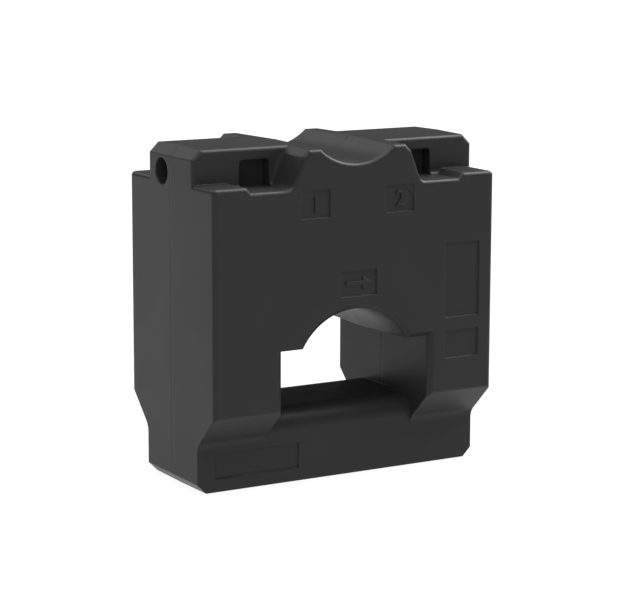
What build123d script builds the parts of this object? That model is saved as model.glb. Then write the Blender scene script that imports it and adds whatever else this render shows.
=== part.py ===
from build123d import *
import os
from math import radians, sqrt, tan

# Window-type current transformer. A bar or a round conductor passes through the window in place of a
# primary winding, and the secondary winding ends in two screw terminals at the top.
# Millimetres. X runs to the right seen from the front, Y to the rear, Z up. The origin is in the middle
# of the footprint, on the lowest line of the housing. The two half shells meet at y = 0.

# Housing, outside. Widths and heights are largest at the parting plane.
body_width = 60.0
body_height = 63.3
body_depth = 33.5
base_depth = 20.2
side_draft = 0.3
level_draft = 1.2
slant_foot = 9.1
slant_angle = 44.0
slant_root_radius = 3.0
bottom_chamfer = 2.0
edge_radius = 0.8
wall = 2.0
floor_wall = 2.6

# Top of the housing: ledges, notches, hump and saddle
ledge_drop = 6.4
ledge_length = 7.9
notch_depth = 1.0
notch_root_radius = 1.5
block_root_radius = 0.9
block_depth = 17.8
block_chamfer = 2.0
hump_half_width = 10.3
hump_chamfer = 1.2
hump_flank_angle = 68.0
saddle_radius = 11.7
saddle_depth = 2.95

# Window
slot_width = 31.4
slot_top = 26.15
crossbar_top = 14.25
crossbar_radius = 4.0
arc_radius = 12.5
arc_centre_height = 20.2
window_chamfer = 0.9

# Recessed marking fields: width and height, and the place of the middle
field_depth = 0.3
field_corner = 2.2
terminal_field = (6.0, 5.1)
terminal_field_x = 9.0
terminal_field_drop = 3.8
arrow_field = (7.6, 4.8)
arrow_field_place = (0.25, 37.9)
tall_field = (7.6, 14.2)
tall_field_inset = 7.0
tall_field_height = 36.8
small_field = (7.5, 5.3)
small_field_inset = 7.0
small_field_height = 24.5
base_field = (17.6, 4.9)
base_field_inset = 12.5
base_field_height = 5.1

# Front wire entries, each closed by a thin web until it is used
entry_width = 6.2
entry_height = 5.0
entry_depth = 2.8
entry_web = 1.0
entry_corner = 0.7

# Terminals
terminal_inset = 12.6
terminal_y = 3.4
terminal_rise = 1.4
driver_hole_diameter = 5.0
clamp_reach = 2.8
clamp_corner_radius = 0.5
clamp_thread_wall = 3.0
clamp_back_wall = 1.2
clamp_level_wall = 1.0
clamp_opening_height = 4.2
screw_diameter = 3.0
screw_length = 8.3
screw_head_diameter = 4.4
screw_head_length = 1.6
screw_spigot_diameter = 1.8
screw_slot_width = 0.8
screw_slot_depth = 0.9
screw_end_chamfer = 0.3
screw_pitch = 0.5
screw_turns = 6
plate_thickness = 0.8
bar_thickness = 0.8
bar_leg_width = 2.8
bar_foot_reach = 4.2
bar_end_gap = 0.3

# Core, coil and cushions
core_wrap_thickness = 0.5
cushion_thickness = 0.7
core_corner_radius = 1.5
core_window_gap = 0.9
core_end_gap = 1.7
core_crossbar_gap = 1.1
former_wall = 1.0
coil_thickness = 2.2
coil_wrap_thickness = 0.3
coil_corner_radius = 2.0
flange_proud = 0.3
flange_gap = 0.5
lead_diameter = 1.2
lead_room = 3.65
rib_thickness = 1.5
rib_heights = (20.0, 26.0, 32.0)

# Joint between the shells
tongue_width = 0.8
tongue_height = 1.0
tongue_inset = 0.6

# Clearances
fit_gap = 0.1
slide_gap = 0.2
thread_gap = 0.15
seat_gap = 0.3
clear = 1.0

half_width = body_width / 2
half_depth = body_depth / 2
base_half_depth = base_depth / 2
block_half_depth = block_depth / 2
side_rise = tan(radians(side_draft))
level_rise = tan(radians(level_draft))
ledge_height = body_height - ledge_drop
notch_height = ledge_height - notch_depth
notch_half_width = half_width - ledge_length
terminal_x = half_width - terminal_inset
terminal_z = ledge_height + terminal_rise
slant_height = (half_depth - base_half_depth) * tan(radians(slant_angle))
above = body_height + clear

# Places that several pieces share, on the right-hand side of the object
screw_travel = screw_pitch * screw_turns
clamp_opening_width = bar_thickness + seat_gap + screw_travel + plate_thickness + fit_gap
clamp_inner_x = (terminal_x - clamp_opening_width / 2, terminal_x + clamp_opening_width / 2)
clamp_outer_x = (clamp_inner_x[0] - clamp_back_wall, clamp_inner_x[1] + clamp_thread_wall)
clamp_y = (fit_gap, terminal_y + clamp_reach)
clamp_inner_z = (terminal_z - clamp_opening_height / 2, terminal_z + clamp_opening_height / 2)
clamp_outer_z = (clamp_inner_z[0] - clamp_level_wall, clamp_inner_z[1] + clamp_level_wall)
entry_back = -block_half_depth + entry_depth
channel_front = entry_back + entry_web
bar_x = (clamp_inner_x[0], clamp_inner_x[0] + bar_thickness)
bar_y = (channel_front + bar_end_gap, clamp_y[1] - bar_end_gap)
cavity_roof = notch_height - wall - slide_gap
flange_top = cavity_roof - lead_room
bar_foot = cavity_roof - seat_gap - bar_thickness
screw_shoulder_x = clamp_inner_x[1]
plate_x = (screw_shoulder_x - fit_gap - plate_thickness, screw_shoulder_x - fit_gap)

core_half_depth = base_half_depth - wall - cushion_thickness - core_wrap_thickness
wrap_half_depth = core_half_depth + core_wrap_thickness
cushion_half_depth = wrap_half_depth + cushion_thickness
window_outside = slot_width / 2 + wall
core_inner_x = window_outside + core_window_gap + core_wrap_thickness
core_outer_x = half_width - wall - core_end_gap - core_wrap_thickness
core_leg = core_outer_x - core_inner_x
core_bottom = floor_wall + cushion_thickness + core_wrap_thickness
core_floor = crossbar_top - wall - core_crossbar_gap - core_wrap_thickness
window_roof = arc_centre_height + arc_radius + wall + half_depth * level_rise
former_build = slide_gap + former_wall
coil_build = former_build + coil_thickness + coil_wrap_thickness
plate_rise = coil_build + flange_proud
yoke_low = window_roof + seat_gap + plate_rise
yoke_high = flange_top - plate_rise
yoke_middle = (yoke_low + yoke_high) / 2
former_half_depth = core_half_depth + former_build
flange_x = core_inner_x - core_corner_radius - flange_gap
leg_top = rib_heights[-1] + rib_thickness


def prism_along_y(points, y_low, y_high):
    """Straight solid on a closed outline of (x, z) points."""
    face = make_face(Polyline(*[(x, y_low, z) for x, z in points], close=True))
    return extrude(face, amount=y_high - y_low, dir=(0, 1, 0))


def prism_along_x(points, reach):
    """Straight solid on a closed outline of (y, z) points, centred on x = 0."""
    face = make_face(Polyline(*[(-reach, y, z) for y, z in points], close=True))
    return extrude(face, amount=2 * reach, dir=(1, 0, 0))


def prism_along_z(points, z_low, z_high):
    """Straight solid on a closed outline of (x, y) points."""
    face = make_face(Polyline(*[(x, y, z_low) for x, y in points], close=True))
    return extrude(face, amount=z_high - z_low, dir=(0, 0, 1))


def block(x_low, x_high, y_low, y_high, z_low, z_high):
    """Rectangular solid between two corners."""
    middle = Pos((x_low + x_high) / 2, (y_low + y_high) / 2, (z_low + z_high) / 2)
    return middle * Box(x_high - x_low, y_high - y_low, z_high - z_low)


def rod_along_x(radius, x_low, x_high, y, z):
    """Round solid along X."""
    return Pos((x_low + x_high) / 2, y, z) * Rot(0, 90, 0) * Cylinder(radius, x_high - x_low)


def rod_along_y(radius, y_low, y_high, x, z):
    """Round solid along Y."""
    return Pos(x, (y_low + y_high) / 2, z) * Rot(90, 0, 0) * Cylinder(radius, y_high - y_low)


def both_sides(shape):
    """The shape together with its mirror image on the other side of x = 0."""
    return shape + mirror(shape, Plane.YZ)


def both_faces(shape):
    """The shape together with its mirror image on the other side of y = 0."""
    return shape + mirror(shape, Plane.XZ)


def plan_solid(inset):
    """Everything inside the drafted sides, moved inwards by inset."""
    middle = half_width - inset
    end = half_width - inset - half_depth * side_rise
    reach = half_depth - inset
    points = [(middle, 0), (end, reach), (-end, reach), (-middle, 0), (-end, -reach), (end, -reach)]
    return prism_along_z(points, -clear, above)


def side_solid(inset, floor, roof):
    """Everything inside the slanted side view, moved inwards by inset, between a floor and a roof."""
    foot = slant_foot + inset * tan(radians(slant_angle / 2))
    top = foot + slant_height
    front = [
        (-base_half_depth + inset, floor(base_half_depth - inset)),
        (-base_half_depth + inset, foot),
        (-half_depth + inset, top),
        (-half_depth + inset, roof(half_depth - inset)),
    ]
    rear = [(-y, z) for y, z in reversed(front)]
    return prism_along_x([(0, floor(0)), *front, (0, roof(0)), *rear], half_width + clear)


def outer_solid(inset=0):
    """The housing's outside, moved inwards by inset, before its ledges, saddle and window are cut."""
    solid = plan_solid(inset) & side_solid(
        inset,
        lambda depth: inset + depth * level_rise,
        lambda depth: body_height - inset - depth * level_rise,
    )
    shift = inset * sqrt(2)
    low = half_width - bottom_chamfer - shift
    bottom_corner = [(low - clear, -clear), (low + body_width, body_width), (low + body_width, -clear)]
    high = half_width - block_chamfer - shift
    top_corner = [
        (high - clear, body_height + clear),
        (high + body_width, body_height - body_width),
        (high + body_width, body_height + clear),
    ]
    reach = half_depth + clear
    bevels = prism_along_y(bottom_corner, -reach, reach) + prism_along_y(top_corner, -reach, reach)
    return solid - both_sides(bevels)


def ledge_cutter():
    """The space in front of one terminal block: ledge, notch and the hump's flank, on the right side."""
    face_top = body_height - half_depth * level_rise
    bevel_foot = (hump_half_width + hump_chamfer, face_top - hump_chamfer)
    flank_foot = bevel_foot[0] + (bevel_foot[1] - notch_height) / tan(radians(hump_flank_angle))
    points = [
        (hump_half_width - clear - hump_chamfer, face_top + clear + hump_chamfer),
        bevel_foot,
        (flank_foot, notch_height),
        (notch_half_width, notch_height),
        (notch_half_width + notch_depth, ledge_height),
        (half_width + clear, ledge_height),
        (half_width + clear, face_top + clear + hump_chamfer),
    ]
    cutter = prism_along_y(points, -half_depth - clear, -block_half_depth)
    root = cutter.edges().filter_by(Axis.Y).sort_by(
        lambda e: abs(e.center().X - flank_foot) + abs(e.center().Z - notch_height)
    )[0]
    cutter = fillet(root, notch_root_radius)
    foot = cutter.faces().sort_by(Axis.Y)[-1].edges().filter_by(lambda e: e.center().Z < bevel_foot[1])
    return fillet(foot.filter_by(lambda e: e.center().X < notch_half_width), block_root_radius)


def saddle_cutter(grow=0):
    """Round trough across the hump, from front to rear, made larger by grow."""
    face_top = body_height - half_depth * level_rise
    centre = face_top - saddle_depth + saddle_radius
    return rod_along_y(saddle_radius + grow, -half_depth - clear, half_depth + clear, 0, centre)


def window_cutter(grow):
    """The window, narrowest at the parting plane, made larger all round by grow."""
    middle = slot_width / 2 + grow
    reach = half_depth + clear
    end = middle + reach * side_rise
    plan = [(middle, 0), (end, reach), (-end, reach), (-middle, 0), (-end, -reach), (end, -reach)]
    low = slant_foot - slant_root_radius * tan(radians(slant_angle / 2))
    bar_face = base_half_depth - grow
    bar_top = crossbar_top - grow
    bar_round = crossbar_radius - grow
    roof = slot_top + grow
    bar_edge = bar_top - (bar_face - bar_round) * level_rise
    with BuildSketch(Plane.YZ) as side:
        with BuildLine():
            Polyline((0, bar_top), (-(bar_face - bar_round), bar_edge))
            RadiusArc((-(bar_face - bar_round), bar_edge), (-bar_face, bar_edge - bar_round), -bar_round)
            Polyline(
                (-bar_face, bar_edge - bar_round),
                (-bar_face, low),
                (-reach, low),
                (-reach, roof + reach * level_rise),
                (0, roof),
            )
            mirror(about=Plane.YZ)
        make_face()
    slot = extrude(side.sketch, amount=half_width, both=True) & prism_along_z(plan, 0, body_height)
    cone = Cone(arc_radius + grow, arc_radius + grow + reach * level_rise, reach)
    front = Pos(0, -reach / 2, arc_centre_height) * Rot(90, 0, 0) * cone
    keep = block(-half_width, half_width, -reach, reach, arc_centre_height, body_height)
    return slot + (both_faces(front) & keep)


def window_bevel():
    """Wedge round the window's front edge, down to the crossbar."""
    width = window_chamfer
    edge = half_depth - width
    flare = 1 + clear / width
    side = slot_width / 2 + half_depth * side_rise
    roof = slot_top + half_depth * level_rise
    radius = arc_radius + half_depth * level_rise
    plan = [
        (side, -edge), (side + width * flare, -edge - width * flare),
        (-side - width * flare, -edge - width * flare), (-side, -edge),
    ]
    level = [
        (-edge, slant_foot), (-edge, roof), (-edge - width * flare, roof + width * flare),
        (-edge - width * flare, slant_foot),
    ]
    slot = prism_along_z(plan, slant_foot, body_height) & prism_along_x(level, half_width)
    cone = Cone(radius, radius + width * flare, width * flare)
    arc = Pos(0, -edge - width * flare / 2, arc_centre_height) * Rot(90, 0, 0) * cone
    keep = block(-half_width, half_width, -half_depth - clear, 0, arc_centre_height, body_height)
    return slot + (arc & keep)


def field(size, place, face_y, cut_corner=0):
    """A recessed marking field. cut_corner makes one upper corner half as deep: -1 left, 1 right."""
    width, height = size
    x, z = place
    solid = block(
        x - width / 2, x + width / 2,
        face_y - clear, face_y + field_depth,
        z - height / 2, z + height / 2,
    )
    if cut_corner:
        corner = (x + cut_corner * width / 2, z + height / 2)
        triangle = [
            (corner[0], corner[1]),
            (corner[0] - cut_corner * field_corner, corner[1]),
            (corner[0], corner[1] - field_corner),
        ]
        solid -= prism_along_y(triangle, face_y + field_depth / 2, face_y + field_depth)
    return solid


def marking_fields():
    """All the recessed fields on the front."""
    face = -half_depth
    x, z = terminal_field_x, ledge_height - terminal_field_drop
    fields = field(terminal_field, (-x, z), face, -1) + field(terminal_field, (x, z), face, 1)
    fields += field(arrow_field, arrow_field_place, face)
    fields += field(tall_field, (half_width - tall_field_inset, tall_field_height), face)
    fields += field(small_field, (half_width - small_field_inset, small_field_height), face)
    base_place = (base_field_inset - half_width, base_field_height)
    return fields + field(base_field, base_place, -base_half_depth)


def wire_entry():
    """Blind recess in the front of one terminal block, level with the notch's floor."""
    solid = block(
        terminal_x - entry_width / 2, terminal_x + entry_width / 2,
        -block_half_depth - block_root_radius, entry_back,
        notch_height, notch_height + entry_height,
    )
    return fillet(solid.edges().filter_by(Axis.Y).group_by(Axis.Z)[-1], entry_corner)


def clamp_seat():
    """The space for one terminal: clamp room, wire channel, slot for the bar's leg, driver's hole."""
    room = block(
        clamp_outer_x[0] - fit_gap, clamp_outer_x[1] + fit_gap,
        0, clamp_y[1] + fit_gap,
        clamp_outer_z[0] - fit_gap, clamp_outer_z[1] + fit_gap,
    )
    channel = block(
        bar_x[0] - slide_gap, clamp_inner_x[1] + slide_gap,
        channel_front, 0,
        clamp_inner_z[0], clamp_inner_z[1],
    )
    leg_slot = block(
        bar_x[0] - slide_gap, bar_x[1] + slide_gap,
        bar_y[0] - slide_gap, 0,
        cavity_roof - clear, terminal_z,
    )
    hole = rod_along_x(
        driver_hole_diameter / 2, clamp_outer_x[1], half_width + clear, terminal_y, terminal_z
    )
    return room + channel + leg_slot + hole


def ribs():
    """Ribs on the inner face of one shell, on the right side, which press a cushion against the core."""
    solid = Part()
    for height in rib_heights:
        solid += block(
            window_outside - wall, half_width,
            -half_depth, -cushion_half_depth,
            height, height + rib_thickness,
        )
    return solid


def core_room():
    """The space inside the housing for the core and the coil, round the window."""
    room = plan_solid(wall) & side_solid(wall, lambda depth: floor_wall, lambda depth: cavity_roof)
    return room - window_cutter(wall) - both_faces(both_sides(ribs()))


def tongue(gap):
    """Closed rim that stands behind the parting plane, thicker and higher by gap all round."""
    outside = outer_solid(tongue_inset - gap) - saddle_cutter(tongue_inset - gap)
    outside -= window_cutter(tongue_inset - gap)
    inset = tongue_inset + tongue_width + gap
    inside = outer_solid(inset) - saddle_cutter(inset) - window_cutter(inset)
    return (outside - inside) & block(-half_width, half_width, 0, tongue_height + gap, 0, body_height)


def housing():
    """Both shells as one solid, before they are parted."""
    solid = outer_solid()
    roots = solid.edges().filter_by(Axis.X).filter_by(lambda e: abs(e.center().Z - slant_foot) < fit_gap)
    solid = fillet(roots, slant_root_radius)
    solid -= both_faces(both_sides(ledge_cutter())) + saddle_cutter()
    ends = solid.faces().sort_by(Axis.Y)
    rims = [*ends[0].outer_wire().edges(), *ends[-1].outer_wire().edges()]
    ledge_ends = solid.edges().filter_by(lambda e: abs(e.center().Z - ledge_height) < fit_gap)
    ledge_ends = ledge_ends.filter_by(lambda e: half_width - clear < abs(e.center().X))
    solid = fillet([*rims, *ledge_ends], edge_radius)
    block_faces = solid.faces().filter_by(Axis.Y).filter_by(
        lambda f: abs(abs(f.center().Y) - block_half_depth) < fit_gap
    )
    rims = block_faces.edges().filter_by(lambda e: e.center().Z > terminal_z)
    rims = rims.filter_by(lambda e: terminal_x < abs(e.center().X))
    solid = fillet(rims, edge_radius)
    solid -= window_cutter(0)
    solid -= both_faces(window_bevel())
    solid -= both_sides(wire_entry() + clamp_seat())
    return solid - marking_fields() - core_room()


def parted(solid):
    """The front and the rear half of a solid."""
    front = solid & block(-body_width, body_width, -body_width, 0, -clear, above)
    rear = solid & block(-body_width, body_width, 0, body_width, -clear, above)
    return front, rear


def rounded_frame(x_in, x_out, z_in, z_out, radius_in, radius_out):
    """Upright rectangular ring face round the window, with rounded corners."""
    outer = RectangleRounded(2 * x_out, z_out[1] - z_out[0], radius_out)
    inner = RectangleRounded(2 * x_in, z_in[1] - z_in[0], radius_in)
    return Plane.XZ * (Pos(0, sum(z_out) / 2) * outer - Pos(0, sum(z_in) / 2) * inner)


def core_face(grow):
    """The core's ring face, made wider all round by grow."""
    return rounded_frame(
        core_inner_x - grow, core_outer_x + grow,
        (core_floor + grow, yoke_low - grow),
        (core_bottom - grow, yoke_high + grow),
        core_corner_radius - grow, core_corner_radius + core_leg + grow,
    )


def below_ribs(solid):
    """The lower part of a solid, up to the top of the ribs."""
    return solid & block(-body_width, body_width, -half_depth, half_depth, 0, leg_top)


def ring_core():
    """Core of wound steel tape, which closes round the window."""
    return extrude(core_face(0), amount=core_half_depth, both=True)


def core_wrap():
    """Insulating wrap on the core's lower and side legs."""
    body = extrude(core_face(core_wrap_thickness) - core_face(fit_gap), amount=wrap_half_depth, both=True)
    side = extrude(core_face(core_wrap_thickness), amount=wrap_half_depth)
    side -= extrude(core_face(core_wrap_thickness), amount=core_half_depth + fit_gap)
    return below_ribs(body + both_faces(side))


def core_cushion():
    """Flat foam cushion in front of the core's lower and side legs."""
    trim = 2 * slide_gap
    bar_inside = crossbar_top - base_half_depth * level_rise - crossbar_radius
    ring = rounded_frame(
        core_inner_x + trim, core_outer_x - trim,
        (bar_inside, yoke_low), (core_bottom + trim, yoke_high),
        core_corner_radius, core_corner_radius + core_leg - trim,
    )
    solid = extrude(ring, amount=cushion_half_depth) - extrude(ring, amount=wrap_half_depth)
    return below_ribs(solid)


def coil_former():
    """The whole coil former: a square tube on the core's top leg with a plate at each end."""
    tube = block(
        -flange_x, flange_x, -former_half_depth, former_half_depth,
        yoke_low - former_build, yoke_high + former_build,
    )
    plate = block(
        flange_x - former_wall, flange_x,
        -half_depth + wall + seat_gap, half_depth - wall - seat_gap,
        yoke_low - plate_rise, yoke_high + plate_rise,
    )
    passage = block(
        -body_width, body_width, -core_half_depth - slide_gap, core_half_depth + slide_gap,
        yoke_low - slide_gap, yoke_high + slide_gap,
    )
    return tube + both_sides(plate) - passage


def coil_layer(start, thickness, inner_radius, outer_radius):
    """One layer round the coil former, from a distance start outside the former's tube."""
    reach = flange_x - former_wall - fit_gap
    solids = []
    for size, radius in ((start, inner_radius), (start + thickness, outer_radius)):
        width = 2 * (former_half_depth + size)
        height = yoke_high - yoke_low + 2 * (former_build + size)
        face = RectangleRounded(width, height, radius) if radius else Rectangle(width, height)
        solids.append(extrude(Plane.YZ * Pos(0, yoke_middle) * face, amount=reach, both=True))
    return solids[1] - solids[0]


def clamp_box():
    """Brass clamp with the wire's opening along Y and the screw's thread along X, right side."""
    y_low, y_high = clamp_y
    solid = block(*clamp_outer_x, y_low, y_high, *clamp_outer_z)
    solid = fillet(solid.edges().filter_by(Axis.Y), clamp_corner_radius)
    solid -= block(*clamp_inner_x, y_low - clear, y_high + clear, *clamp_inner_z)
    thread = rod_along_x(
        screw_diameter / 2 + thread_gap, clamp_inner_x[1] - clear, clamp_outer_x[1] + clear,
        terminal_y, terminal_z,
    )
    return solid - thread


def contact_bar():
    """Flat bar inside the clamp, with a leg and a foot that reach down to the lead, right side."""
    low, high = clamp_inner_z[0] + fit_gap / 2, clamp_inner_z[1] - fit_gap / 2
    solid = block(*bar_x, *bar_y, low, high)
    leg_y = (bar_y[0], bar_y[0] + bar_leg_width)
    leg = block(*bar_x, *leg_y, bar_foot, high)
    foot = block(bar_x[0] - bar_foot_reach, bar_x[0], *leg_y, bar_foot, bar_foot + bar_thickness)
    return solid + leg + foot


def clamp_screw():
    """Slotted screw with a round head, and a spigot that turns in the pressure plate, right side."""
    end = screw_shoulder_x + screw_length
    neck = end - screw_head_length
    solid = rod_along_x(screw_head_diameter / 2, neck, end, terminal_y, terminal_z)
    solid = chamfer(solid.edges().sort_by(Axis.X)[-1], screw_end_chamfer)
    solid += rod_along_x(screw_diameter / 2, screw_shoulder_x, neck, terminal_y, terminal_z)
    solid += rod_along_x(
        screw_spigot_diameter / 2, plate_x[0], screw_shoulder_x, terminal_y, terminal_z
    )
    slot = block(
        end - screw_slot_depth, end + clear,
        terminal_y - screw_slot_width / 2, terminal_y + screw_slot_width / 2,
        terminal_z - screw_head_diameter, terminal_z + screw_head_diameter,
    )
    return solid - slot


def pressure_plate():
    """Small plate on the screw's tip, right side."""
    solid = block(
        *plate_x,
        clamp_y[0] + slide_gap, clamp_y[1] - slide_gap,
        clamp_inner_z[0] + slide_gap, clamp_inner_z[1] - slide_gap,
    )
    hole = rod_along_x(
        screw_spigot_diameter / 2 + thread_gap, plate_x[0] - clear, plate_x[1] + clear,
        terminal_y, terminal_z,
    )
    return solid - hole


def lead():
    """Short insulated lead from the coil up to the contact bar's foot, right side."""
    x = bar_x[0] - bar_foot_reach + bar_leg_width / 2
    y = bar_y[0] + bar_leg_width / 2
    coil_top = yoke_high + coil_build
    length = bar_foot - coil_top
    return Pos(x, y, coil_top + length / 2) * Cylinder(lead_diameter / 2, length)


def all_parts():
    """Every piece by its name."""
    front, rear = parted(housing())
    former = coil_former()
    half_space = block(-body_width, body_width, -body_width, body_width, yoke_middle, above)
    pieces = {
        "front_shell": front + tongue(0),
        "rear_shell": rear - tongue(fit_gap),
        "ring_core": ring_core(),
        "core_wrap": core_wrap(),
        "front_core_cushion": core_cushion(),
        "rear_core_cushion": mirror(core_cushion(), Plane.XZ),
        "base_cushion": block(
            -core_inner_x, core_inner_x, -wrap_half_depth, wrap_half_depth,
            floor_wall, floor_wall + cushion_thickness,
        ),
        "coil_former_upper": former & half_space,
        "coil_former_lower": former - half_space,
        "secondary_winding": coil_layer(0, coil_thickness, 0, coil_corner_radius),
        "winding_wrap": coil_layer(
            coil_thickness, coil_wrap_thickness,
            coil_corner_radius - fit_gap, coil_corner_radius + coil_wrap_thickness,
        ),
    }
    terminal = {
        "clamp_box": clamp_box(),
        "contact_bar": contact_bar(),
        "pressure_plate": pressure_plate(),
        "clamp_screw": clamp_screw(),
        "lead": lead(),
    }
    for name, solid in terminal.items():
        pieces["right_" + name] = solid
        pieces["left_" + name] = mirror(solid, Plane.YZ)
    return pieces


os.makedirs("parts", exist_ok=True)
for name, solid in all_parts().items():
    export_step(solid, "parts/" + name + ".step")
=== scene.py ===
# %% [markdown]
# # A window-type current transformer
# A bar or a round conductor goes through the window of this small black housing. A steel core and a
# coil inside it bring the current down to a size that a meter can read, and two screw terminals at the
# top corners lead it out. We dress the exact CAD solids with materials, add the raised marks that a
# mould leaves in its shallow fields, and light the object softly on a pale floor.

# %% Load the frame
from math import cos, pi, radians, sin

import bmesh
import bpy
from mathutils import Matrix, Vector


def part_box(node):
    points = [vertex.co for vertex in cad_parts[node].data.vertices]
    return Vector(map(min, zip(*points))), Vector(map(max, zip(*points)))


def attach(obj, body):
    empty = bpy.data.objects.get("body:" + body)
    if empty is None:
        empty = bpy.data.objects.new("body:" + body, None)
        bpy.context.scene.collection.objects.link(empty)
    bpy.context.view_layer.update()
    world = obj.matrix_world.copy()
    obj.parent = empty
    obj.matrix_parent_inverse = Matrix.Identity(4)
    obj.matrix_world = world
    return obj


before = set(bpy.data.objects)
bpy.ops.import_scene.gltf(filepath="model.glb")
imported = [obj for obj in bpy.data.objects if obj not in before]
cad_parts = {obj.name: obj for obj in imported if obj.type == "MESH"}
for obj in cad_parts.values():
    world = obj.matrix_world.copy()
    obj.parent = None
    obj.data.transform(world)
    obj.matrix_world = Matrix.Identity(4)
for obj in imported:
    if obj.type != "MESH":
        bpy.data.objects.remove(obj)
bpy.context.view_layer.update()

MM = 0.001
scene = bpy.context.scene

# %% [markdown]
# ## Camera
# The picture was taken from a little above and from the left, through a long lens, so upright edges stay
# almost parallel. Fitting known corners of the housing to their pixels gave the place, the turn and the
# focal length. A look-at constraint would be quicker to set up, but it can't hold the slight roll, so we
# build the camera's three axes ourselves.

# %% Camera from the measured view
PICTURE_WIDTH = 624
FOCAL_PIXELS = 2248.931
CAMERA_PLACE = (-0.212589, -0.363607, 0.108225)
yaw, pitch, roll = radians(30.3112), radians(-10.2404), radians(0.1566)

ahead = Vector((sin(yaw) * cos(pitch), cos(yaw) * cos(pitch), sin(pitch)))
side = Vector((cos(yaw), -sin(yaw), 0.0))
above = side.cross(ahead)
tilted_side = cos(roll) * side + sin(roll) * above
tilted_above = cos(roll) * above - sin(roll) * side
axes = Matrix((tilted_side, tilted_above, -ahead)).transposed().to_4x4()

camera_data = bpy.data.cameras.new("view")
camera_data.sensor_fit = "HORIZONTAL"
camera_data.sensor_width = 36.0
camera_data.lens = FOCAL_PIXELS * camera_data.sensor_width / PICTURE_WIDTH
camera_data.clip_start = 0.01
camera_data.clip_end = 20.0
camera = bpy.data.objects.new("view", camera_data)
camera.matrix_world = Matrix.Translation(CAMERA_PLACE) @ axes
scene.collection.objects.link(camera)
scene.camera = camera
print("lens", round(camera_data.lens, 2), "mm")

# %% [markdown]
# ## Colour and nodes
# Paint charts and picture editors give colours as hex codes in sRGB, while a shader works in linear
# light. One function turns the first into the second. Nodes could be laid out by hand in the editor, but
# in a script one function that adds a node with its settings and links keeps each material below a short
# list of what it is made of. The others start a material, feed its shader and dress CAD nodes with it.

# %% Helpers for materials
def linear(code):
    """A hex colour such as '#1d1d1e' as linear red, green, blue and a full alpha."""
    parts = [int(code[i:i + 2], 16) / 255 for i in (1, 3, 5)]
    return [p / 12.92 if p <= 0.04045 else ((p + 0.055) / 1.055) ** 2.4 for p in parts] + [1.0]


def add(material, kind, inputs=None, **settings):
    """One node of this kind. An input's value is a constant, or another node's output to link."""
    tree = material.node_tree
    node = tree.nodes.new(kind)
    for name, value in settings.items():
        setattr(node, name, value)
    for name, value in (inputs or {}).items():
        if isinstance(value, bpy.types.NodeSocket):
            tree.links.new(value, node.inputs[name])
        else:
            node.inputs[name].default_value = value
    return node


def start(name, constants):
    """A new material with these constants on its shader, and the object's own coordinates in metres."""
    material = bpy.data.materials.new(name)
    material.use_nodes = True
    for socket, value in constants.items():
        material.node_tree.nodes["Principled BSDF"].inputs[socket].default_value = value
    return material, add(material, "ShaderNodeTexCoord").outputs["Object"]


def feed(material, outputs):
    """Links the outputs of other nodes to sockets of the material's shader."""
    tree = material.node_tree
    for socket, output in outputs.items():
        tree.links.new(output, tree.nodes["Principled BSDF"].inputs[socket])


def dress(material, *nodes):
    """Gives these CAD nodes this material."""
    for node in nodes:
        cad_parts[node].material_slots[0].material = material
    print(material.name, "on", ", ".join(nodes))


print("#808080 is", round(linear("#808080")[0], 3), "in linear light")

# %% [markdown]
# ## Housing: glass-filled polyamide, spark-eroded mould
# The shells are black polyamide with glass fibre. Spark erosion gives the mould a fine even grain, so the
# plastic comes out satin and not glossy: lights show as soft bands on its rounded edges. The real grain
# is about 0.05 mm, too fine to show from this distance, so it is drawn 0.25 mm wide and only a few
# micrometres deep. The hollows of that grain swallow much of the mirror light, so the specular level is
# well below that of smooth polyamide. Flow marks are far larger and only shift the gloss a little. A
# picture of the grain would need the shells unwrapped and would show seams, while noise on the object's
# own coordinates has none. All edges of a moulding have a small radius. The large ones are in the CAD
# solids, and a Bevel node softens the last ones.

# %% Housing material
GRAIN_WIDTH, GRAIN_DEPTH = 0.25 * MM, 0.003 * MM
FLOW_MARK = 14 * MM
LAST_RADIUS = 0.4 * MM

plastic, place = start("black glass-filled polyamide, eroded satin", {
    "Metallic": 0.0, "Roughness": 0.4, "IOR": 1.5, "Specular IOR Level": 0.16})
grain = add(plastic, "ShaderNodeTexNoise", {
    "Vector": place, "Scale": 1 / GRAIN_WIDTH, "Detail": 3.0, "Roughness": 0.6})
flow = add(plastic, "ShaderNodeTexNoise", {
    "Vector": place, "Scale": 1 / FLOW_MARK, "Detail": 2.0, "Distortion": 1.2})
tone = add(plastic, "ShaderNodeMix", {
    "Factor": flow.outputs["Fac"], "A": linear("#222223"), "B": linear("#262627")}, data_type="RGBA")
gloss = add(plastic, "ShaderNodeMapRange", {
    "Value": flow.outputs["Fac"], "From Min": 0.3, "From Max": 0.7, "To Min": 0.36, "To Max": 0.42})
soft_edge = add(plastic, "ShaderNodeBevel", {"Radius": LAST_RADIUS}, samples=6)
relief = add(plastic, "ShaderNodeBump", {
    "Strength": 0.5, "Distance": GRAIN_DEPTH, "Height": grain.outputs["Fac"],
    "Normal": soft_edge.outputs["Normal"]})
feed(plastic, {
    "Base Color": tone.outputs["Result"], "Roughness": gloss.outputs["Result"],
    "Normal": relief.outputs["Normal"]})
dress(plastic, "front_shell", "rear_shell")

# %% [markdown]
# ## Core: wound silicon steel tape
# The core is one long steel tape, 0.3 mm thick, wound round a former and pressed into a rounded
# rectangle. From the front we look at the tape's edges, so the layers follow the opening's outline.
# Modelling them would take a spiral of many thousand faces for lines that are finer than a pixel. The
# distance to that rounded rectangle, put through a sine, draws them with none: one ridge for each layer.
# The tape's coating is grey and slightly blue, with darker and lighter turns.

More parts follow.
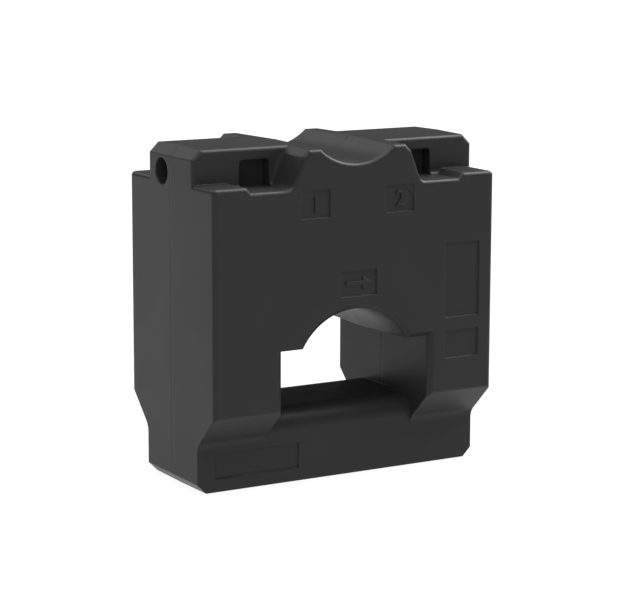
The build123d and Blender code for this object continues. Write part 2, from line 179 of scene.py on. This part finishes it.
# %% Core material
TAPE_THICKNESS = 0.3 * MM
CORE_LEG, CORE_CORNER = 6.7 * MM, 1.5 * MM
COATING_BLOTCH = 4 * MM

core_low, core_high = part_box("ring_core")
opening = (core_high - core_low) / 2 - Vector((1, 1, 1)) * (CORE_LEG + CORE_CORNER)
core_middle = (core_low.z + core_high.z) / 2

steel, place = start("wound silicon steel tape", {"Metallic": 1.0, "Roughness": 0.38})
flat = add(steel, "ShaderNodeMapping", {
    "Vector": place, "Location": (0, 0, -core_middle), "Scale": (1, 0, 1)})
positive = add(steel, "ShaderNodeVectorMath", {0: flat.outputs["Vector"]}, operation="ABSOLUTE")
beyond = add(steel, "ShaderNodeVectorMath", {
    0: positive.outputs["Vector"], 1: (opening.x, 0, opening.z)}, operation="SUBTRACT")
corner = add(steel, "ShaderNodeVectorMath", {
    0: beyond.outputs["Vector"], 1: (0, 0, 0)}, operation="MAXIMUM")
distance = add(steel, "ShaderNodeVectorMath", {0: corner.outputs["Vector"]}, operation="LENGTH")
turns = add(steel, "ShaderNodeMath", {
    0: distance.outputs["Value"], 1: 2 * pi / TAPE_THICKNESS}, operation="MULTIPLY")
layer = add(steel, "ShaderNodeMath", {0: turns.outputs["Value"]}, operation="SINE")
blotch = add(steel, "ShaderNodeTexNoise", {"Vector": place, "Scale": 1 / COATING_BLOTCH, "Detail": 4.0})
steel_tone = add(steel, "ShaderNodeMix", {
    "Factor": blotch.outputs["Fac"], "A": linear("#82868b"), "B": linear("#a3a6aa")}, data_type="RGBA")
steel_relief = add(steel, "ShaderNodeBump", {
    "Strength": 0.6, "Distance": 0.02 * MM, "Height": layer.outputs["Value"]})
feed(steel, {"Base Color": steel_tone.outputs["Result"], "Normal": steel_relief.outputs["Normal"]})
dress(steel, "ring_core")
print("core", [round(v / MM, 1) for v in core_high - core_low], "mm")

# %% [markdown]
# ## Core wrap: amber polyimide film
# Film wound round the core's lower leg and side legs holds the steel tape together and keeps its sharp
# edges off the housing. It is thin, glossy and amber, and each turn overlaps the last. A wound strip of
# mesh would show every lap, but the CAD solid already has the wrap's form, so a slanted saw-shaped wave
# adds only the steps, 8 mm apart on a flat face. Faint wrinkles run across them.

# %% Core wrap material
FILM_LAP = 8 * MM
WRINKLE = 1.5 * MM

film, place = start("amber polyimide film, half-lapped", {"Metallic": 0.0, "Roughness": 0.22, "IOR": 1.7})
# A slanted wave repeats every 4/9 of 1/scale, measured across its bands on a flat face.
laps = add(film, "ShaderNodeTexWave", {
    "Vector": place, "Scale": 4 / 9 / FILM_LAP, "Distortion": 0.6, "Detail": 1.0},
    wave_profile="SAW", bands_direction="DIAGONAL")
wrinkle = add(film, "ShaderNodeTexNoise", {
    "Vector": place, "Scale": 1 / WRINKLE, "Detail": 2.0, "Distortion": 2.0})
film_tone = add(film, "ShaderNodeMix", {
    "Factor": laps.outputs["Fac"], "A": linear("#a9701f"), "B": linear("#c98c2c")}, data_type="RGBA")
crease = add(film, "ShaderNodeBump", {
    "Strength": 0.4, "Distance": 0.03 * MM, "Height": wrinkle.outputs["Fac"]})
step = add(film, "ShaderNodeBump", {
    "Strength": 0.7, "Distance": 0.06 * MM, "Height": laps.outputs["Fac"],
    "Normal": crease.outputs["Normal"]})
feed(film, {"Base Color": film_tone.outputs["Result"], "Normal": step.outputs["Normal"]})
dress(film, "core_wrap")

# %% [markdown]
# ## Cushions: closed-cell polyethylene foam
# Three flat foam pads hold the core without pressing hard on its steel, which would spoil its magnetic
# properties. Foam is matt and dark grey, and its skin shows cells of about 0.5 mm as small hollows.
# Displacing the mesh would need several faces for each cell. A cell texture gives the same hollows as a
# bump, and its distance to each cell's middle paints shade into them, darkest at a hollow's bottom.

# %% Cushion material
FOAM_CELL = 0.5 * MM

foam, place = start("grey closed-cell polyethylene foam", {
    "Metallic": 0.0, "Roughness": 0.9, "IOR": 1.45})
cells = add(foam, "ShaderNodeTexVoronoi", {"Vector": place, "Scale": 1 / FOAM_CELL})
# painted shade: each cell hollow gets the darker grey at its middle, the lighter one at its rim
foam_tone_and_hollow_shade = add(foam, "ShaderNodeMix", {
    "Factor": cells.outputs["Distance"], "A": linear("#3a3b3d"), "B": linear("#4d4e50")},
    data_type="RGBA")
hollow = add(foam, "ShaderNodeBump", {
    "Strength": 0.8, "Distance": 0.08 * MM, "Height": cells.outputs["Distance"]})
feed(foam, {"Base Color": foam_tone_and_hollow_shade.outputs["Result"], "Normal": hollow.outputs["Normal"]})
dress(foam, "front_core_cushion", "rear_core_cushion", "base_cushion")

# %% [markdown]
# ## Coil former: natural polyamide
# The former is moulded in undyed polyamide with glass fibre: a warm off-white and satin, with faint
# streaks along its length, where the fibres lie. Streaks could be painted, but a noise that a Mapping
# node stretches along X runs through both halves without a break.

# %% Former material
FIBRE = 0.4 * MM
STRETCH = 0.15

natural, place = start("natural glass-filled polyamide", {
    "Metallic": 0.0, "Roughness": 0.42, "IOR": 1.53})
along = add(natural, "ShaderNodeMapping", {"Vector": place, "Scale": (STRETCH, 1, 1)})
fibre = add(natural, "ShaderNodeTexNoise", {
    "Vector": along.outputs["Vector"], "Scale": 1 / FIBRE, "Detail": 3.0})
natural_tone = add(natural, "ShaderNodeMix", {
    "Factor": fibre.outputs["Fac"], "A": linear("#cfc8b4"), "B": linear("#dfd9c8")}, data_type="RGBA")
natural_relief = add(natural, "ShaderNodeBump", {
    "Strength": 0.4, "Distance": 0.01 * MM, "Height": fibre.outputs["Fac"]})
feed(natural, {"Base Color": natural_tone.outputs["Result"], "Normal": natural_relief.outputs["Normal"]})
dress(natural, "coil_former_lower", "coil_former_upper")

# %% [markdown]
# ## Winding: enamelled copper wire
# Hundreds of turns of lacquered copper lie side by side. Sweeping a curve for each turn would be heavy,
# and the tape hides most of them. Each turn runs round the coil, so the turns show as ridges that repeat
# along X, and a sine without its sign has nearly the half-round section of a wire. The same sine paints
# shade into the grooves between turns. The lacquer turns the copper a deep reddish brown and keeps it
# shiny.

# %% Winding material
WIRE = 0.5 * MM

wire, place = start("enamelled copper wire, close wound", {"Metallic": 1.0, "Roughness": 0.28})
apart = add(wire, "ShaderNodeSeparateXYZ", {0: place})
phase = add(wire, "ShaderNodeMath", {0: apart.outputs["X"], 1: pi / WIRE}, operation="MULTIPLY")
swing = add(wire, "ShaderNodeMath", {0: phase.outputs["Value"]}, operation="SINE")
ridge = add(wire, "ShaderNodeMath", {0: swing.outputs["Value"]}, operation="ABSOLUTE")
# painted shade: darker brown in the grooves between turns, the copper's own tone on the crests
copper_tone_and_groove_shade = add(wire, "ShaderNodeMix", {
    "Factor": ridge.outputs["Value"], "A": linear("#4a1d0c"), "B": linear("#a4532b")}, data_type="RGBA")
copper_relief = add(wire, "ShaderNodeBump", {
    "Strength": 1.0, "Distance": 0.2 * MM, "Height": ridge.outputs["Value"]})
feed(wire, {"Base Color": copper_tone_and_groove_shade.outputs["Result"], "Normal": copper_relief.outputs["Normal"]})
dress(wire, "secondary_winding")

# %% [markdown]
# ## Winding wrap: yellow polyester tape
# Polyester tape closes the coil. It is glossy and slightly see-through on the real coil. Real see-through
# tape would need a thin shell with the copper sharp below it, so here the dark copper is only hinted at
# by a deeper tone. Its laps repeat along X every 8 mm.

# %% Winding tape material
TAPE_WIDTH = 8 * MM
RIPPLE = 2 * MM

tape, place = start("yellow polyester winding tape", {"Metallic": 0.0, "Roughness": 0.25, "IOR": 1.6})
# A wave along one axis repeats every 2 pi / 20 of 1/scale.
tape_laps = add(tape, "ShaderNodeTexWave", {
    "Vector": place, "Scale": 2 * pi / TAPE_WIDTH / 20, "Distortion": 0.4, "Detail": 1.0},
    wave_profile="SAW", bands_direction="X")
ripple = add(tape, "ShaderNodeTexNoise", {"Vector": place, "Scale": 1 / RIPPLE, "Detail": 2.0})
tape_tone = add(tape, "ShaderNodeMix", {
    "Factor": tape_laps.outputs["Fac"], "A": linear("#c39a24"), "B": linear("#dcb93a")},
    data_type="RGBA")
tape_ripple = add(tape, "ShaderNodeBump", {
    "Strength": 0.3, "Distance": 0.04 * MM, "Height": ripple.outputs["Fac"]})
tape_step = add(tape, "ShaderNodeBump", {
    "Strength": 0.6, "Distance": 0.05 * MM, "Height": tape_laps.outputs["Fac"],
    "Normal": tape_ripple.outputs["Normal"]})
feed(tape, {"Base Color": tape_tone.outputs["Result"], "Normal": tape_step.outputs["Normal"]})
dress(tape, "winding_wrap")

# %% [markdown]
# ## Clamp boxes: milled brass
# Each terminal has a brass box, milled from drawn bar. The cutter leaves fine parallel marks along Y. An
# anisotropic shader could smear the light along them, but it needs tangents that a CAD mesh lacks, so a
# noise stretched along Y gives the marks as a shallow bump. Brass is a metal, so its colour goes into
# the reflection, and its edges are broken by a file.

# %% Clamp box material
MILLING_MARK = 0.12 * MM
MARK_STRETCH = 0.05

brass, place = start("milled brass", {"Metallic": 1.0, "Roughness": 0.3})
marks = add(brass, "ShaderNodeMapping", {"Vector": place, "Scale": (1, MARK_STRETCH, 1)})
milling = add(brass, "ShaderNodeTexNoise", {
    "Vector": marks.outputs["Vector"], "Scale": 1 / MILLING_MARK, "Detail": 2.0})
brass_tone = add(brass, "ShaderNodeMix", {
    "Factor": milling.outputs["Fac"], "A": linear("#c9a55a"), "B": linear("#dcbd78")}, data_type="RGBA")
brass_edge = add(brass, "ShaderNodeBevel", {"Radius": 0.15 * MM}, samples=4)
brass_relief = add(brass, "ShaderNodeBump", {
    "Strength": 0.4, "Distance": 0.01 * MM, "Height": milling.outputs["Fac"],
    "Normal": brass_edge.outputs["Normal"]})
feed(brass, {"Base Color": brass_tone.outputs["Result"], "Normal": brass_relief.outputs["Normal"]})
dress(brass, "right_clamp_box", "left_clamp_box")

# %% [markdown]
# ## Contact bars: tinned copper
# The bars are copper, dipped in hot tin so that they stay solderable. The dip leaves the surface soft
# and mottled, a little brighter here and duller there. A bump would make it look dented, so the noise
# changes only the tone and the gloss.

# %% Contact bar material
TIN_MOTTLE = 0.8 * MM

tin, place = start("hot-dip tinned copper", {"Metallic": 1.0, "Roughness": 0.32})
mottle = add(tin, "ShaderNodeTexNoise", {"Vector": place, "Scale": 1 / TIN_MOTTLE, "Detail": 3.0})
tin_tone = add(tin, "ShaderNodeMix", {
    "Factor": mottle.outputs["Fac"], "A": linear("#bdbdb8"), "B": linear("#d2d1cc")}, data_type="RGBA")
tin_gloss = add(tin, "ShaderNodeMapRange", {
    "Value": mottle.outputs["Fac"], "To Min": 0.22, "To Max": 0.42})
feed(tin, {"Base Color": tin_tone.outputs["Result"], "Roughness": tin_gloss.outputs["Result"]})
dress(tin, "right_contact_bar", "left_contact_bar")

# %% [markdown]
# ## Pressure plates: zinc-plated steel
# The plates are stamped from steel strip and plated with zinc, which gives a cold, slightly blue grey.
# Plating is smooth and keeps no crystals that the eye can see, unlike a zinc dip, so a fine noise
# clouds the tone and nothing more.

# %% Pressure plate material
PLATING_CLOUD = 0.5 * MM

zinc, place = start("zinc-plated steel, stamped", {"Metallic": 1.0, "Roughness": 0.34})
plating = add(zinc, "ShaderNodeTexNoise", {"Vector": place, "Scale": 1 / PLATING_CLOUD, "Detail": 2.0})
zinc_tone = add(zinc, "ShaderNodeMix", {
    "Factor": plating.outputs["Fac"], "A": linear("#a9adb2"), "B": linear("#c3c7cb")}, data_type="RGBA")
feed(zinc, {"Base Color": zinc_tone.outputs["Result"]})
dress(zinc, "right_pressure_plate", "left_pressure_plate")

# %% [markdown]
# ## Clamp screws: black oxide on turned steel
# Black oxide turns a screw nearly as dark as the housing, so its head hardly shows in the round hole. The
# lathe leaves rings round its axis, which lies along X. Grooves in the mesh would be far too fine, so a
# sine along X lifts the rings as a bump and paints shade into the grooves between them.

# %% Clamp screw material
TURNING_FEED = 0.12 * MM

turned, place = start("black oxide steel, turned", {"Metallic": 1.0, "Roughness": 0.42})
axis = add(turned, "ShaderNodeSeparateXYZ", {0: place})
ring_phase = add(turned, "ShaderNodeMath", {
    0: axis.outputs["X"], 1: 2 * pi / TURNING_FEED}, operation="MULTIPLY")
rings = add(turned, "ShaderNodeMath", {0: ring_phase.outputs["Value"]}, operation="SINE")
# painted shade: the lower half of each ring's wave gets the darker grey
turned_tone_and_groove_shade = add(turned, "ShaderNodeMix", {
    "Factor": rings.outputs["Value"], "A": linear("#3a3a3c"), "B": linear("#4a4a4c")}, data_type="RGBA")
turned_relief = add(turned, "ShaderNodeBump", {
    "Strength": 0.4, "Distance": 0.008 * MM, "Height": rings.outputs["Value"]})
feed(turned, {"Base Color": turned_tone_and_groove_shade.outputs["Result"], "Normal": turned_relief.outputs["Normal"]})
dress(turned, "right_clamp_screw", "left_clamp_screw")

# %% [markdown]
# ## Leads: red PVC insulation
# The leads bring the coil's current to the contact bars. Extruded PVC is smooth and fairly glossy, with
# a slight waviness from the die. Waves in the mesh would change the lead's size, so a soft bump and a
# slight change of tone show them.

# %% Lead material
DIE_WAVE = 0.9 * MM

pvc, place = start("red PVC insulation, extruded", {"Metallic": 0.0, "Roughness": 0.3, "IOR": 1.54})
wave = add(pvc, "ShaderNodeTexNoise", {"Vector": place, "Scale": 1 / DIE_WAVE, "Detail": 1.0})
pvc_tone = add(pvc, "ShaderNodeMix", {
    "Factor": wave.outputs["Fac"], "A": linear("#8f1613"), "B": linear("#a41d19")}, data_type="RGBA")
pvc_relief = add(pvc, "ShaderNodeBump", {
    "Strength": 0.3, "Distance": 0.02 * MM, "Height": wave.outputs["Fac"]})
feed(pvc, {"Base Color": pvc_tone.outputs["Result"], "Normal": pvc_relief.outputs["Normal"]})
dress(pvc, "right_lead", "left_lead")

# %% [markdown]
# ## Raised marks in the fields
# Marks are often engraved in the mould, inside a shallow raised pad, so the plastic shows raised marks
# in a shallow recess. The two terminal fields get the plain numbers 1 and 2, and the middle field an
# arrow for the way the current runs. Figures could be drawn point by point, but a text object gives clean
# outlines at once. It becomes a mesh before it is put in place, so its object can stay at the origin.

# %% Numbers 1 and 2
FACE = -16.75 * MM
FIELD_FLOOR = FACE + 0.3 * MM
FIGURE_SHARE = 0.7          # a figure's height, as a share of the font's size
NUMBER_HEIGHT = 2.9 * MM
NUMBER_HALF = 0.11 * MM     # half the height of its straight sides
NUMBER_RIM = 0.03 * MM      # its rims are rounded by this much, and drawn in by as much
NUMBER_MIDDLE = 0.13 * MM   # its middle lies this far above the field's floor


def settle(piece, matrix):
    """Puts a piece's place into its mesh, dresses it in the housing's plastic and lets it ride."""
    piece.data.transform(matrix)
    piece.data.materials.clear()
    piece.data.materials.append(plastic)
    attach(piece, "housing")
    print(piece.name, "has", len(piece.data.polygons), "faces")


def raised_number(text, x, z):
    """A number that stands up 0.27 mm from the field's floor, with its foot 0.01 mm deep in the floor."""
    name = "mark_" + text
    curve = bpy.data.curves.new(name, "FONT")
    curve.body = text
    curve.size = NUMBER_HEIGHT / FIGURE_SHARE
    curve.align_x = "CENTER"
    curve.extrude = NUMBER_HALF
    curve.bevel_depth = NUMBER_RIM
    curve.bevel_resolution = 1
    curve.offset = -NUMBER_RIM
    carrier = bpy.data.objects.new("carrier", curve)
    scene.collection.objects.link(carrier)
    bpy.context.view_layer.update()
    mesh = bpy.data.meshes.new_from_object(carrier)
    bpy.data.objects.remove(carrier)
    mesh.name = name
    number = bpy.data.objects.new(name, mesh)
    scene.collection.objects.link(number)
    upright = Matrix.Rotation(radians(90), 4, "X")
    foot = Matrix.Translation((x, FIELD_FLOOR - NUMBER_MIDDLE, z - NUMBER_HEIGHT / 2))
    settle(number, foot @ upright)


raised_number("1", -9.0 * MM, 53.1 * MM)
raised_number("2", 9.0 * MM, 53.1 * MM)

# %% [markdown]
# ## Arrow
# The arrow has a straight shaft and a head. Two flat shapes would meet in a seam, so the outline is drawn
# once, as one polygon of seven corners. Extruding it and bevelling its upper rim gives the same soft edge
# that the numbers have.

# %% Arrow
LENGTH, WIDTH = 5.6 * MM, 2.6 * MM
HEAD, SHAFT = 2.0 * MM, 0.8 * MM
ARROW_FOOT = 0.02 * MM      # this deep in the field's floor
ARROW_THICKNESS = 0.24 * MM
ARROW_RIM = 0.05 * MM

neck = LENGTH / 2 - HEAD
outline = [
    (-LENGTH / 2, -SHAFT / 2), (neck, -SHAFT / 2), (neck, -WIDTH / 2), (LENGTH / 2, 0),
    (neck, WIDTH / 2), (neck, SHAFT / 2), (-LENGTH / 2, SHAFT / 2),
]
shape = bmesh.new()
face = shape.faces.new([shape.verts.new((x, 0, z)) for x, z in outline])
grown = bmesh.ops.extrude_face_region(shape, geom=[face])
raised = [v for v in grown["geom"] if isinstance(v, bmesh.types.BMVert)]
bmesh.ops.translate(shape, verts=raised, vec=(0, -ARROW_THICKNESS, 0))
rim = [e for e in shape.edges if all(v in raised for v in e.verts)]
bmesh.ops.bevel(
    shape, geom=rim, offset=ARROW_RIM, segments=2, profile=0.5, affect="EDGES", material=-1)
bmesh.ops.recalc_face_normals(shape, faces=shape.faces)
arrow_mesh = bpy.data.meshes.new("mark_arrow")
shape.to_mesh(arrow_mesh)
shape.free()
arrow = bpy.data.objects.new("mark_arrow", arrow_mesh)
scene.collection.objects.link(arrow)
settle(arrow, Matrix.Translation((0.25 * MM, FIELD_FLOOR + ARROW_FOOT, 37.9 * MM)))

# %% [markdown]
# ## Floor
# A dark satin object shows its shape by what it mirrors, so its surroundings do more for it than the
# light that falls on it. A plain white floor would show a dark shadow beside it. So it stands on an opal
# light table, a white sheet that glows from below: the floor stays near white right up to the object,
# with hardly a shadow, and the upright faces mirror it evenly.

# %% Floor
FLOOR_REACH = 6.0           # metres from the middle to each side
FLOOR_GAP = 0.02 * MM       # keeps the floor clear of the object's underside
CLOUD = 300 * MM

floor_shape = bmesh.new()
bmesh.ops.create_grid(floor_shape, x_segments=1, y_segments=1, size=FLOOR_REACH)
floor_mesh = bpy.data.meshes.new("floor")
floor_shape.to_mesh(floor_mesh)
floor_shape.free()
floor = bpy.data.objects.new("floor", floor_mesh)
floor.location = (0, 0, -FLOOR_GAP)
scene.collection.objects.link(floor)

opal, place = start("opal acrylic, lit from below", {
    "Metallic": 0.0, "Roughness": 0.9, "IOR": 1.3, "Emission Color": linear("#ffffff"),
    "Emission Strength": 0.93})
cloud = add(opal, "ShaderNodeTexNoise", {"Vector": place, "Scale": 1 / CLOUD, "Detail": 1.0})
opal_tone = add(opal, "ShaderNodeMix", {
    "Factor": cloud.outputs["Fac"], "A": linear("#474747"), "B": linear("#4b4b4b")}, data_type="RGBA")
feed(opal, {"Base Color": opal_tone.outputs["Result"]})
floor_mesh.materials.append(opal)
print("floor", 2 * FLOOR_REACH, "m wide")

# %% [markdown]
# ## Room and lights
# The room round the table is dim, so the top faces, seen at a flat angle, stay dark grey. A broad light
# straight above and a narrower one from the right draw the rounded upper edges, and a weak one from
# behind touches the chamfers. A fill light beside the camera reaches into the recesses. It is kept out of
# mirror reflections, as a large white sheet beside the lens would be too even to see. Area lamps would
# fall off across the floor, so sun lamps with a wide angle stand in for far softboxes: they light the
# object and the whole floor alike.

# %% Room and lights
ROOM_LEVEL = 0.06

world = bpy.data.worlds.new("room")
world.use_nodes = True
room = world.node_tree.nodes["Background"]
room.inputs["Color"].default_value = linear("#ffffff")
room.inputs["Strength"].default_value = ROOM_LEVEL
scene.world = world
scene.view_settings.view_transform = "Standard"


def softbox(name, bearing, height, spread, power):
    """A far softbox. Bearing and height are in degrees: 0 is behind the object, 90 to its right."""
    data = bpy.data.lights.new(name, "SUN")
    data.angle = radians(spread)
    data.energy = power
    lamp = bpy.data.objects.new(name, data)
    turn, rise = radians(bearing), radians(height)
    towards = Vector((sin(turn) * cos(rise), cos(turn) * cos(rise), sin(rise)))
    lamp.rotation_euler = towards.to_track_quat("Z", "Y").to_euler()
    scene.collection.objects.link(lamp)
    return lamp


softbox("overhead light", bearing=0, height=90, spread=80, power=4.0)
softbox("right light", bearing=90, height=40, spread=50, power=5.0)
softbox("back light", bearing=-10, height=32, spread=40, power=0.4)
fill = softbox("fill light", bearing=210, height=12, spread=60, power=1.6)
fill.visible_glossy = False
